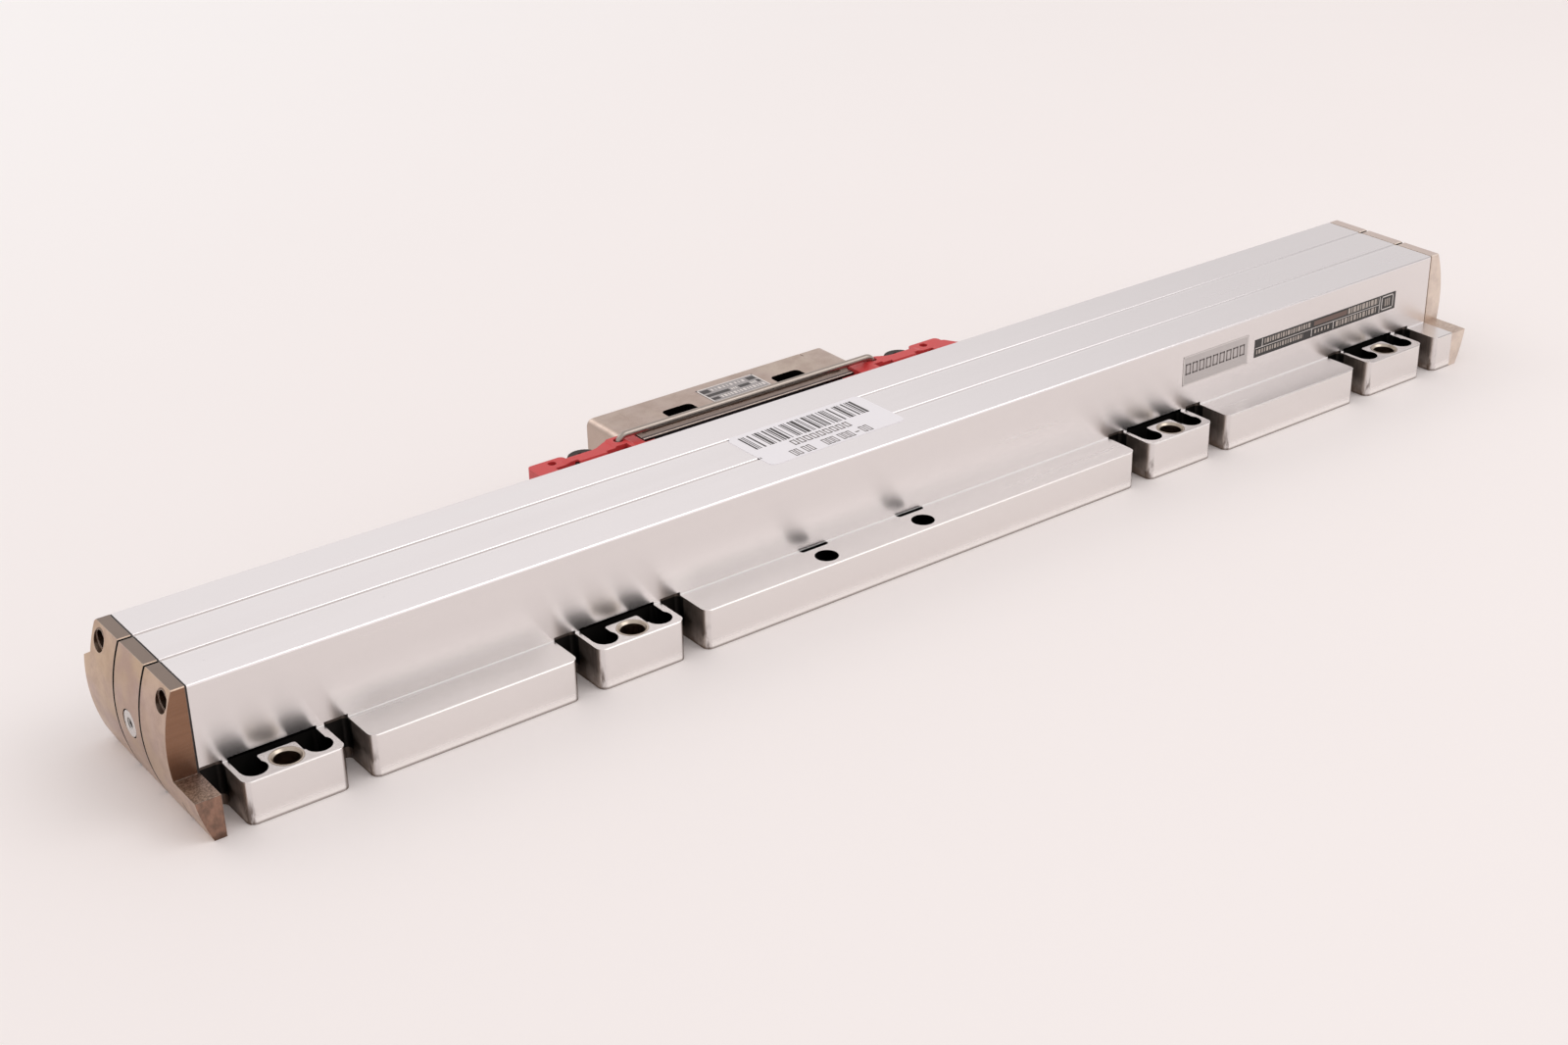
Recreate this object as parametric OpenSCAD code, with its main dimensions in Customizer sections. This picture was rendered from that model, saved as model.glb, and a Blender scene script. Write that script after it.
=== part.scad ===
// Sealed linear encoder (linear glass scale) lying on its mounting face.
// X runs along the travel, Y points from the mounting flange to the scanning
// unit, Z is up. The origin is midway between the two fixed-point holes, on
// the mounting face.

/* [Housing] */
// Left end of the aluminium profile, along X
body_x0 = -201.9; // [-210:0.1:-198]
// Right end of the aluminium profile, along X
body_x1 = 246.1; // [242:0.1:260]
// Height of the profile
body_h = 35.8; // [35:0.1:38]
// Height of the mounting flange
flange_h = 12; // [11:0.1:14]
// Front face of the flange, in front of the hole line
flange_y = -5.25; // [-6.5:0.05:-5]
// Front wall of the profile
wall_y = 6.75; // [6.5:0.05:7]
// Far wall of the profile above the shoulder
far_y = 51.75; // [51.5:0.05:52]
// Far wall of the profile below the shoulder
far_low_y = 55.75; // [55.5:0.05:55.9]
// Half spacing of the two fixed-point holes
fix_dx = 17.5; // [16:0.5:19]
// Radius of the two fixed-point holes
fix_r = 3.4; // [3.2:0.05:3.6]
// Width of a sprung foot
foot_w = 27; // [26:0.5:28]
// Gap on each side of a foot
foot_gap = 6.5; // [5:0.5:7]
// Inner radius of a foot bush
bush_r = 3.3; // [3.1:0.05:3.4]
// Outer radius of a foot bush
bush_ro = 4.4; // [4.2:0.05:4.6]

/* [End caps] */
// Radius of the convex outer face of a cap
cap_r = 45.5; // [44:0.1:52]
// Thickness of a cap at its thickest
cap_t = 6.8; // [6.5:0.1:7.5]
// Thickness of the gasket under a cap
gasket_t = 0.5; // [0.4:0.1:0.6]
// Radius of a compressed-air inlet
air_r = 2.5; // [2.1:0.1:2.5]
// Radius of the mouth of an inlet
mouth_r = 3.05; // [2.9:0.05:3.1]

/* [Scanning unit] */
// Half length of the mounting block between its end pieces
block_hx = 34.2; // [34:0.1:35]
// Top of the mounting block
block_z1 = 33.5; // [33:0.1:34]
// Underside of the mounting block
block_z0 = 3; // [2:0.5:4]
// Front face of the mounting block
block_y0 = 58.95; // [58.9:0.05:59.2]
// Far face of the mounting block
block_y1 = 79.75; // [79.5:0.05:82]
// Half spacing of the two block mounting holes
block_hole_dx = 20; // [19.5:0.5:20.5]
// Radius of the block mounting holes
block_hole_r = 3.3; // [3.1:0.05:3.4]
// Thickness of the blade that passes between the lips
blade_t = 2; // [1.8:0.1:2]
// Radius of a guide roller
roller_r = 2.5; // [2.4:0.1:2.5]

/* [Shipping brace] */
// Left end of the brace wire, along X
wire_x0 = -46.2; // [-47:0.1:-46]
// Right end of the brace wire, along X
wire_x1 = 47.2; // [46:0.1:47.5]
// Radius of the brace wire
wire_r = 1; // [0.8:0.1:1]
// Height of the wire above the mounting face
wire_z = 35.7; // [35.6:0.1:37]
// Distance of a thumb screw from the middle
thumb_dx = 57.9; // [57.5:0.1:58]
// Radius of a thumb wheel
thumb_r = 4.8; // [4.6:0.1:4.8]

/* [Hidden] */
$fn = 48;
e = 0.01;
body_len = body_x1 - body_x0;
feet = [-182.5, -82.5, 117.5, 217.5];
groove_y = [21.82, 37.36];       // V grooves in the top
blade_z = 15;                    // middle height of the blade
slot_h = 3.5;                    // half height of the slot for the blade
cav_y0 = 10.75; cav_y1 = 47.75; cav_z0 = 2.5; cav_z1 = 33.3;
air_y = [10.35, 47.4]; air_z = 31.9;
screw_y = 29.2; screw_z = 17.4;
cap_cz = 18.7;                   // centre height of the convex cap face
hole_mid = 0.9;                  // middle of the block holes along X
hole_y = 67.1;
scale_z0 = 22.6; scale_z1 = 26.6; scale_y0 = 11.5; scale_y1 = 29.5;
thumb_y = 59.6;
run = 0.05;                      // running clearance on a pin

// ---------- shared helpers ----------

// a profile drawn in Y and Z, extruded along X from x0 to x1
module along_x(x0, x1) {
    translate([x0, 0, 0]) rotate([90, 0, 90]) linear_extrude(height = x1 - x0) children();
}
module box(x0, x1, y0, y1, z0, z1) {
    translate([x0, y0, z0]) cube([x1 - x0, y1 - y0, z1 - z0]);
}
module post(x, y, z0, z1, r) { translate([x, y, z0]) cylinder(h = z1 - z0, r = r); }
module pin_x(y, z, x0, x1, r) { translate([x0, y, z]) rotate([0, 90, 0]) cylinder(h = x1 - x0, r = r); }
module pin_y(x, z, y0, y1, r) { translate([x, y0, z]) rotate([-90, 0, 0]) cylinder(h = y1 - y0, r = r); }
// upright bar with rounded vertical edges
module rbar(x0, x1, y0, y1, z0, z1, r) {
    translate([0, 0, z0]) linear_extrude(height = z1 - z0) {
        translate([x0 + r, y0]) square([x1 - x0 - 2 * r, y1 - y0]);
        translate([x0, y0 + r]) square([x1 - x0, y1 - y0 - 2 * r]);
        for (x = [x0 + r, x1 - r], y = [y0 + r, y1 - r]) translate([x, y]) circle(r = r);
    }
}

// outer outline of the body in Y and Z, without the flange
module body_outline(clamp = true) {
    difference() {
        polygon([[wall_y, 0], [12, 0], [12.6, 0.4], [40.4, 0.4], [41, 0], [52.4, 0],
            [far_low_y, 3.4], [far_low_y, 24.8], [far_y, 27.2], [far_y, body_h - 0.7],
            [far_y - 0.7, body_h], [wall_y + 0.28, body_h], [wall_y, body_h - 0.28]]);
        for (y = groove_y) polygon([[y - 0.72, body_h + e], [y - 0.5, body_h - 0.22], [y + 0.5, body_h - 0.22], [y + 0.72, body_h + e]]);
        // clamping groove of the shipping brace
        if (clamp) translate([far_low_y - 2, 20.5]) square([3, 3]);
    }
}

// ---------- housing ----------

// the sprung foot's U-shaped cut round the boss
module foot_cut(x) {
    difference() {
        translate([0, 0, -1]) linear_extrude(height = flange_h + 2) {
            translate([x - 12.2, 0]) square([23.6, 6.8]);
            translate([x - 11.2, 6.3]) square([21.6, 1.7]);
            for (cx = [x - 11.2, x + 10.4]) translate([cx, 7]) circle(r = 1);
        }
        rbar(x - 5.65, x + 4.65, -3, 4.95, -2, flange_h + 3, 0.8);
    }
    for (s = [-1, 1]) post(x + s * 8.6, 0, -1, flange_h + 1, 3.5);
}

module flange_pad(x0, x1, r0, r1) {
    // one block of the flange, its front corners rounded r0 at the left and r1 at the right
    intersection() {
        linear_extrude(height = flange_h) {
            translate([x0, flange_y + max(r0, r1)]) square([x1 - x0, wall_y - flange_y - max(r0, r1)]);
            translate([x0 + r0, flange_y]) square([x1 - x0 - r0 - r1, 3]);
            if (r0 > 0) translate([x0 + r0, flange_y + r0]) circle(r = r0);
            if (r1 > 0) translate([x1 - r1, flange_y + r1]) circle(r = r1);
        }
        // broken top front edge
        along_x(x0 - 1, x1 + 1) polygon([[flange_y - 1, -1], [wall_y + 1, -1], [wall_y + 1, flange_h + 1],
            [flange_y + 1.28, flange_h + 1], [flange_y + 0.28, flange_h], [flange_y, flange_h - 0.28], [flange_y - 1, flange_h - 1.28]]);
    }
}

// cuts shared by the wall, the feet and the flange blocks
module flange_cuts() {
    // slots between the feet and the flange blocks, sunk a little into the wall
    for (x = feet, s = [-1, 1]) {
        x0 = x + s * (foot_w / 2 + foot_gap / 2) - foot_gap / 2;
        rbar(x0, x0 + foot_gap, flange_y - 3, 8, -1, flange_h + 1, 1.3);
    }
    // relief at the left end, curved into the wall
    box(body_x0 - 1, -196, flange_y - 1, 0.6, -1, flange_h + 1);
    post(-203.4, 0.6, -1, flange_h + 1, 7.4);
    for (x = feet) {
        foot_cut(x);
        post(x, 0, -1, flange_h + 1, bush_ro);
    }
    for (s = [-1, 1]) {
        post(s * fix_dx, 0, -1, flange_h + 1, fix_r);
        // relief slot behind each fixed-point hole
        rbar(s * fix_dx - 4.4, s * fix_dx + 5.2, 5.45, 7.5, 4, flange_h, 1);
    }
}

// the closed profile round the channel, in Y and Z
module housing_section() {
    difference() {
        body_outline();
        // interior channel
        difference() {
            translate([cav_y0, cav_z0]) square([cav_y1 - cav_y0, cav_z1 - cav_z0]);
            // ledge that carries the glass scale
            translate([cav_y0 - 1, 18.5]) square([6.75, 3.5]);
            for (y = groove_y) translate([y - 1.5, cav_z1 - 0.5]) square([3, 1]);
        }
        // slot for the blade and seats of the sealing lips
        translate([cav_y1 - 1, blade_z - slot_h]) square([12, 2 * slot_h]);
        translate([49.3, blade_z - 7.5]) square([3, 15]);
    }
}
// The profile is one extrusion. It is drawn as four walls that meet face to
// face in mitres running from the inner corners to the outer edges.
module wall(region) {
    color([0.80, 0.80, 0.79]) difference() {
        along_x(body_x0, body_x1) intersection() {
            housing_section();
            polygon(region);
        }
        flange_cuts();
        // inlet passages at the ends
        for (y = [12.4, 46]) {
            pin_x(y, 30.6, body_x0 - 1, body_x0 + 6, 1.2);
            pin_x(y, 30.6, body_x1 - 6, body_x1 + 1, 1.2);
        }
    }
}
front_top = [wall_y + 0.28, body_h];
rear_top = [far_y - 0.7, body_h];
front_low = [wall_y, 0];
rear_low = [52.4, 0];
module housing_front() {
    wall([[0, -5], front_low, [cav_y0, cav_z0], [cav_y0 + 8, cav_z0 + 8], [cav_y0 + 8, cav_z1 - 6],
        [cav_y0, cav_z1], front_top, [0, body_h + 5]]);
}
module housing_top() {
    wall([[cav_y0, cav_z1], [cav_y0 + 8, cav_z1 - 6], [cav_y1 - 6, cav_z1 - 6], [cav_y1, cav_z1],
        rear_top, [rear_top[0], body_h + 5], [front_top[0], body_h + 5], front_top]);
}
module housing_base() {
    wall([[cav_y0, cav_z0], [cav_y0 + 8, cav_z0 + 8], [cav_y1 - 6, cav_z0 + 8], [cav_y1, cav_z0],
        rear_low, [rear_low[0], -5], [front_low[0], -5], front_low]);
}
module housing_rear() {
    wall([[cav_y1, cav_z0], [cav_y1 - 6, cav_z0 + 8], [cav_y1 - 6, cav_z1 - 6], [cav_y1, cav_z1],
        rear_top, [60, body_h + 5], [60, -5], rear_low]);
}

// the four sprung feet and the flange blocks between them, each part of the
// extrusion up to the front wall
module sprung_feet() {
    color([0.80, 0.80, 0.79]) difference() {
        union() {
            for (x = feet) flange_pad(x - foot_w / 2, x + foot_w / 2, 2.3, 2.3);
            box(-199.4, -195, 0.6, wall_y, 0, flange_h);
        }
        flange_cuts();
    }
}
module flange_blocks() {
    color([0.80, 0.80, 0.79]) difference() {
        union() {
            flange_pad(-162.5, -102.5, 2.3, 2.3);
            flange_pad(-62.5, 97.5, 2.3, 2.3);
            flange_pad(137.5, 197.5, 2.3, 2.3);
            flange_pad(237.5, body_x1, 2.3, 0);
        }
        flange_cuts();
    }
}

module foot_bushes() {
    color([0.62, 0.58, 0.52]) for (x = feet) difference() {
        post(x, 0, 0.2, flange_h + 0.05, bush_ro);
        post(x, 0, -1, flange_h + 1, bush_r);
        translate([x, 0, flange_h - 0.55]) cylinder(h = 0.61, r1 = bush_r, r2 = bush_r + 0.6);
    }
}

// ---------- end caps ----------

// the outline of a cap in Y and Z: body, foot and chamfered far corner
module cap_outline() {
    body_outline(false);
    translate([flange_y, 0]) square([wall_y - flange_y + 0.5, flange_h - 0.3]);
    translate([wall_y - 1, 0]) square([5, 1]);
    translate([12, 0]) square([29, 1]);
}
// a cap for the left end; its outer face is a cylinder about Y
module cap_shape() {
    xi = body_x0 - gasket_t;
    xc = xi - cap_t + cap_r;
    difference() {
        union() {
            intersection() {
                along_x(xi - cap_t - 1, xi) cap_outline();
                translate([xc, -20, cap_cz]) rotate([-90, 0, 0]) cylinder(h = 100, r = cap_r, $fn = 180);
            }
            // the foot reaches past the gasket to the flange
            box(xi - 1, body_x0 - 0.02, flange_y, wall_y - 0.05, 0, flange_h - 0.3);
        }
        // grooves that run down the outer face
        for (y = groove_y) difference() {
            box(xi - cap_t - 2, xi + 1, y - 0.42, y + 0.42, -1, body_h + 1);
            intersection() {
                translate([xc, y - 1, cap_cz]) rotate([-90, 0, 0]) cylinder(h = 2, r = cap_r - 0.9, $fn = 180);
                box(xi - cap_t, xi + 2, y - 1, y + 1, -2, body_h - 0.8);
            }
        }
        // short parting groove beside the foot
        box(xi - cap_t - 2, xi - cap_t + 5, 6.3, 6.8, -1, 5.5);
        // compressed-air inlets, blind, with a side passage into the channel
        for (y = air_y) {
            pin_x(y, air_z, xi - cap_t - 1, xi - 1.1, air_r);
            pin_x(y, air_z, xi - cap_t - 1, xi - cap_t + 2.6, mouth_r);
            pin_x(y < 20 ? 12.4 : 46, 30.6, xi - 2.5, xi + 1, 1.2);
        }
        // recess and hole of the centre screw
        pin_x(screw_y, screw_z, xi - cap_t - 1, xi - 3.4, 3.85);
        pin_x(screw_y, screw_z, xi - cap_t - 1, xi + 1, 2.2);
        // relief on the mating face
        difference() {
            box(xi - 0.6, xi + 1, cav_y0 + 3, cav_y1 - 3, cav_z0 + 2, 28.2);
            pin_x(screw_y, screw_z, xi - 2, xi + 2, 4.5);
        }
    }
}
module at_right() { translate([body_x0 + body_x1, 0, 0]) mirror([1, 0, 0]) children(); }
module end_cap_left() { color([0.50, 0.44, 0.38]) cap_shape(); }
module end_cap_right() { color([0.66, 0.62, 0.55]) at_right() cap_shape(); }

module gasket_shape() {
    along_x(body_x0 - gasket_t, body_x0) difference() {
        intersection() {
            body_outline();
            translate([wall_y + 0.15, 0.4]) square([far_low_y - wall_y - 0.3, body_h - 0.6]);
        }
        translate([cav_y0 + 3, cav_z0 + 2]) square([cav_y1 - cav_y0 - 6, 25.7]);
        translate([46, 30.6]) circle(r = 1.3);
        translate([12.4, 30.6]) circle(r = 1.3);
    }
}
module end_gasket_left() { color([0.15, 0.15, 0.15]) gasket_shape(); }
module end_gasket_right() { color([0.15, 0.15, 0.15]) at_right() gasket_shape(); }

// socket screw that holds one cap to its anchor
module cap_screw() {
    xi = body_x0 - gasket_t;
    difference() {
        union() {
            pin_x(screw_y, screw_z, xi - 6.65, xi - 3.4, 3.5);
            pin_x(screw_y, screw_z, xi - 3.5, xi + 9, 2);
        }
        translate([xi - 7, screw_y, screw_z]) rotate([0, 90, 0]) cylinder(h = 2.6, r = 1.45, $fn = 6);
        pin_x(screw_y, screw_z, xi - 7, xi - 6.3, 1.6);
    }
}
module cap_screws() { color([0.75, 0.75, 0.74]) { cap_screw(); at_right() cap_screw(); } }

// anchor bonded into the end of the channel, which the cap screw threads into
module cap_anchor() {
    difference() {
        box(body_x0 + 0.2, body_x0 + 10.2, 16.6, cav_y1, 12, 23.2);
        pin_x(screw_y, screw_z, body_x0 - 1, body_x0 + 12, 2);
        for (y = [21, 40]) pin_x(y, screw_z, body_x0 - 1, body_x0 + 12, 2.4);
    }
}
module cap_anchors() { color([0.7, 0.7, 0.7]) { cap_anchor(); at_right() cap_anchor(); } }

// plugs in the two inlets of the right cap
module air_plugs() {
    xi = body_x0 - gasket_t;
    color([0.3, 0.3, 0.3]) at_right() for (y = air_y) difference() {
        pin_x(y, air_z, xi - 4.6, xi - 1.2, air_r);
        translate([xi - 5, y, air_z]) rotate([0, 90, 0]) cylinder(h = 2.2, r = 1.45, $fn = 6);
    }
}

// ---------- glass scale and seals ----------

module glass_scale() { color([0.55, 0.75, 0.75]) box(-189, 233, scale_y0, scale_y1, scale_z0, scale_z1); }
module scale_bond() { color([0.9, 0.9, 0.85]) box(-188, 232, 11.8, 16.2, 22, scale_z0); }

// one sealing lip: a seated root and a tapered lip that leans outward
module lip(s) {
    along_x(body_x0 + 0.4, body_x1 - 0.4) polygon([for (p = [[49.5, 7.3], [52.1, 7.3], [52.1, 3.4],
        [53.4, 3.1], [55.2, 1.7], [55.2, 1.4], [54.6, 1.4], [52.2, 2.4], [49.5, 3.0]])
        [p[0], blade_z + s * p[1]]]);
}
module lip_upper() { color([0.12, 0.12, 0.12]) lip(1); }
module lip_lower() { color([0.12, 0.12, 0.12]) lip(-1); }

// ---------- stickers and plate ----------

module top_sticker() {
    color([0.95, 0.95, 0.96]) translate([0.15, 27.05, 0]) rotate([0, 0, 0.8])
        rbar(-24.3, 24.3, -11.1, 11.1, body_h, body_h + 0.12, 2);
}
module rating_plate() { color([0.08, 0.08, 0.08]) box(161.2, 229.3, wall_y - 0.12, wall_y, 21.55, 27.6); }
module side_sticker() { color([0.70, 0.71, 0.72]) box(128.8, 158, wall_y - 0.12, wall_y, 20.5, 30.3); }

// ---------- scanning unit: mounting block ----------

module block_holes() {
    for (s = [-1, 1]) {
        xh = hole_mid + s * block_hole_dx;
        rbar(xh - 5.3, xh + 5.3, hole_y - 3.3, hole_y + 3.3, 12, block_z1 + 1, 2);
        post(xh, hole_y, block_z0 - 1, block_z1 + 1, block_hole_r);
    }
}
module block() {
    color([0.60, 0.55, 0.49]) difference() {
        union() {
            // main part with a softened far top edge
            along_x(-block_hx, block_hx) polygon([[63.3, block_z0 + 0.5], [63.8, block_z0],
                [block_y1 - 0.6, block_z0], [block_y1, block_z0 + 0.6], [block_y1, block_z1 - 0.5],
                [block_y1 - 0.5, block_z1], [63.45, block_z1], [63.3, block_z1 - 0.15]]);
            // front ledge
            along_x(-37.9, 39.4) polygon([[block_y0, 6], [63.3, 6], [63.3, block_z1 - 0.8], [block_y0 + 0.25, block_z1 - 0.8],
                [block_y0, block_z1 - 1.05]]);
            box(-block_hx + 0.5, block_hx - 0.5, 62, 64, 7, block_z1 - 1.5);
        }
        // shallow channel along the ledge and a raised strip in it
        difference() {
            box(-36, 37, 61.9, 63.3, block_z1 - 1.5, block_z1);
            box(-4, 30, 61.5, 62.6, block_z1 - 3, block_z1 - 1);
        }
        block_holes();
        // electronics chamber, open at the far side
        box(-31.5, 31.5, 72.9, block_y1 + 1, 7.5, 29);
        // seat of the rear cover
        box(-33.4, 33.4, 77.7, block_y1 + 1, 5.6, 30.9);
        // wire passage from the ribbon into the chamber
        pin_y(0, blade_z, block_y0 - 1, 74, 2.2);
        // passages to the ports
        pin_x(75.3, 16, -block_hx - 1, block_hx + 1, 1.9);
        // threads of the blade screws
        for (x = [-26, -10, 10, 26], z = [10.5, 19.5]) if (abs(x) != 10 || z > 15) pin_y(x, z, block_y0 - 1, 64.6, 1.25);
        // threads of the cover screws
        for (x = [-30, 30], z = [8.2, 28.3]) pin_y(x, z, 72, 78, 0.9);
        // slit at the rear edge
        box(block_hx - 0.45, block_hx + 1, 77.1, block_y1 + 1, block_z1 - 0.8, block_z1 + 1);
    }
}
// end piece of the block, drawn for the left; top outer edge rounded
module block_end(x1, x0, r) {
    difference() {
        intersection() {
            along_x(x0, x1) polygon([[63.3, block_z0 + 0.5], [63.8, block_z0],
                [block_y1 - 0.6, block_z0], [block_y1, block_z0 + 0.6], [block_y1, block_z1 - 0.5],
                [block_y1 - 0.5, block_z1], [63.45, block_z1], [63.3, block_z1 - 0.15]]);
            union() {
                pin_y(x0 + r, block_z1 - r - 0.05, 60, 82, r);
                box(x0 + r, x1, 60, 82, 0, block_z1 - 0.05);
                box(x0, x1, 60, 82, 0, block_z1 - r);
            }
        }
        pin_x(71.3, 14.6, x0 - 1, x0 + 8, 6.8);
        pin_x(75.3, 16, x0 + 2, x1 + 1, 1.9);
    }
}
module block_end_left() { color([0.62, 0.58, 0.53]) block_end(-block_hx - 0.02, -44.1, 2.5); }
module block_end_right() { color([0.60, 0.56, 0.51]) mirror([1, 0, 0]) block_end(-block_hx - 0.02, -44, 3); }

module rear_cover() {
    color([0.58, 0.54, 0.48]) difference() {
        rbar_y(-33.3, 33.3, 5.7, 30.8, 77.75, block_y1 - 0.1, 1.2);
        for (x = [-30, 30], z = [8.2, 28.3]) {
            pin_y(x, z, 77, 81, 1.35);
            pin_y(x, z, block_y1 - 1.2, 81, 2.35);
        }
        // shallow panel frame
        difference() {
            box(-25.5, 25.5, block_y1 - 0.35, 81, 9.5, 27);
            box(-25, 25, block_y1 - 1, 82, 10, 26.5);
        }
    }
}
// plate standing in X and Z with rounded corners
module rbar_y(x0, x1, z0, z1, y0, y1, r) {
    translate([0, y1, 0]) rotate([90, 0, 0]) linear_extrude(height = y1 - y0) {
        translate([x0 + r, z0]) square([x1 - x0 - 2 * r, z1 - z0]);
        translate([x0, z0 + r]) square([x1 - x0, z1 - z0 - 2 * r]);
        for (x = [x0 + r, x1 - r], z = [z0 + r, z1 - r]) translate([x, z]) circle(r = r);
    }
}
module cover_screws() {
    color([0.72, 0.72, 0.72]) for (x = [-30, 30], z = [8.2, 28.3]) difference() {
        union() {
            pin_y(x, z, block_y1 - 1.2, block_y1 - 0.15, 2.2);
            pin_y(x, z, 73, block_y1 - 1.1, 0.85);
        }
        translate([x, block_y1 - 0.8, z]) rotate([-90, 0, 0]) cylinder(h = 2, r = 0.9, $fn = 6);
    }
}

// blade with boat-shaped ends, and the flange that carries it
module blade() {
    color([0.68, 0.68, 0.68]) difference() {
        union() {
            translate([0, 0, blade_z - blade_t / 2]) linear_extrude(height = blade_t)
                polygon([[-26, 42.2], [26, 42.2], [26, 46.5], [30, 51.5], [30, 54], [26.5, 57],
                    [-26.5, 57], [-30, 54], [-30, 51.5], [-26, 46.5]]);
            rbar_y(-30, 30, 7.6, 22.4, 56.95, block_y0, 1.5);
            box(-24, -20, 42.4, 45.6, blade_z, 21.4);
        }
        box(-4, 4, 42, 56.9, blade_z + blade_t / 2 - 0.35, 17);
        box(-4, 4, 56, 60, blade_z - 0.9, blade_z + 1.6);
        pin_x(44, 19.5, -25, -19, 0.8);
        for (x = [-26, -10, 10, 26], z = [10.5, 19.5]) if (abs(x) != 10 || z > 15) {
            pin_y(x, z, 56, 60, 1.6);
            pin_y(x, z, 56, 57.9, 2.9);
        }
    }
}
module blade_screws() {
    color([0.3, 0.3, 0.3]) for (x = [-26, -10, 10, 26], z = [10.5, 19.5]) if (abs(x) != 10 || z > 15) difference() {
        union() {
            pin_y(x, z, 57, 57.9, 2.75);
            pin_y(x, z, 57.8, 64.4, 1.2);
        }
        translate([x, 56.9, z]) rotate([-90, 0, 0]) cylinder(h = 0.7, r = 1.15, $fn = 6);
    }
}

module circuit_board() {
    color([0.1, 0.35, 0.2]) difference() {
        box(-30.5, 30.5, 74.4, 75.8, 9.8, 26.8);
        for (x = [-28, 28], z = [12, 24.5]) pin_y(x, z, 74, 76, 1.1);
    }
}
module board_chips() {
    color([0.1, 0.1, 0.1]) {
        box(-22, -12, 75.8, 77.2, 13.5, 23.5);
        box(-6, 2, 75.8, 77, 15, 22);
        box(8, 13, 75.8, 76.8, 12.5, 16.5);
        box(8, 13, 75.8, 76.8, 19, 24);
        for (k = [0:4]) box(17 + 2 * k, 18 + 2 * k, 75.8, 76.5, 13, 14.8);
        for (k = [0:4]) box(17 + 2 * k, 18 + 2 * k, 75.8, 76.5, 18, 19.8);
        box(-8, 8, 73.6, 74.4, 11, 15);
    }
}

// round connector of the cable port, set in the left end piece
module cable_socket() {
    x0 = -44.1; y = 71.3; z = 14.6;
    color([0.75, 0.68, 0.45]) {
        difference() {
            pin_x(y, z, x0 + 0.3, x0 + 8, 6.8);
            pin_x(y, z, x0 - 1, x0 + 6.5, 5.5);
            // contact holes
            for (k = [0:7]) pin_x(y + 3.4 * cos(45 * k), z + 3.4 * sin(45 * k), x0 + 6.4, x0 + 7.4, 0.5);
        }
    }
}
module blanking_plug() {
    x1 = 44; y = 71.3; z = 14.6;
    color([0.2, 0.2, 0.2]) difference() {
        pin_x(y, z, x1 - 8, x1 - 0.2, 6.8);
        translate([x1 - 2.6, y, z]) rotate([0, 90, 0]) cylinder(h = 3, r = 3.4, $fn = 6);
    }
}
module block_label() { color([0.85, 0.85, 0.85]) box(-7.9, 13.1, 65.3, 75.8, block_z1, block_z1 + 0.1); }

// ---------- scanning unit: carriage on the scale ----------

face_rollers = [[-18, 20.2], [18, 20.2], [8, 25.6]];   // middle of each face roller in X and Y
edge_rollers = [-18, 18];
face_z = scale_z1 + 0.3 + roller_r;
edge_y = scale_y1 + 0.3 + roller_r;

module carriage() {
    color([0.25, 0.26, 0.28]) difference() {
        union() {
            box(-26, 26, 17.6, 41, 27.6, 32.4);
            box(-26, 26, 17.6, 41, 8, 21.8);
            box(-26, 26, 36, 41, 8, 32.4);
            box(20, 24, 40.9, 45.6, 17.5, 21.4);
        }
        for (p = face_rollers) {
            box(p[0] - 3.2, p[0] + 3.2, p[1] - 1.6, p[1] + 1.6, 27, 33);
            pin_y(p[0], face_z, p[1] - 2.6, p[1] + 2.6, 0.75);
        }
        for (x = edge_rollers) post(x, edge_y, 19.5, 30, 0.75);
        pin_x(44, 19.5, 19, 25, 0.8);
        // light path
        post(-6, 22.5, 27, 33, 3.6);
        box(-13, 1, 18.4, 27.6, 16.5, 22);
        // lightening pockets
        box(-22, 22, 30.5, 37, 7, 18);
        for (x = [-20, 14]) box(x - 3, x + 3, 19.5, 28, 7, 17);
    }
}
module roller_pins() {
    color([0.8, 0.8, 0.8]) {
        for (p = face_rollers) pin_y(p[0], face_z, p[1] - 2.6, p[1] + 2.6, 0.75 - e);
        for (x = edge_rollers) post(x, edge_y, 19.5, 30, 0.75 - e);
    }
}
module roller_y(p) {
    color([0.85, 0.85, 0.86]) difference() {
        pin_y(p[0], face_z, p[1] - 1.2, p[1] + 1.2, roller_r);
        pin_y(p[0], face_z, p[1] - 2, p[1] + 2, 0.75 + run);
        for (s = [-1, 1]) pin_y(p[0] + 1.6, face_z, p[1] + s * 1.2 - 0.2, p[1] + s * 1.2 + 0.2, 0.35);
    }
}
module roller_z(x) {
    color([0.85, 0.85, 0.86]) difference() {
        post(x, edge_y, 23.4, 25.8, roller_r);
        post(x, edge_y, 22, 27, 0.75 + run);
        post(x + 1.6, edge_y, 25.6, 27, 0.35);
    }
}
module roller_face_a() { roller_y(face_rollers[0]); }
module roller_face_b() { roller_y(face_rollers[1]); }
module roller_face_c() { roller_y(face_rollers[2]); }
module roller_edge_a() { roller_z(edge_rollers[0]); }
module roller_edge_b() { roller_z(edge_rollers[1]); }

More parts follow.
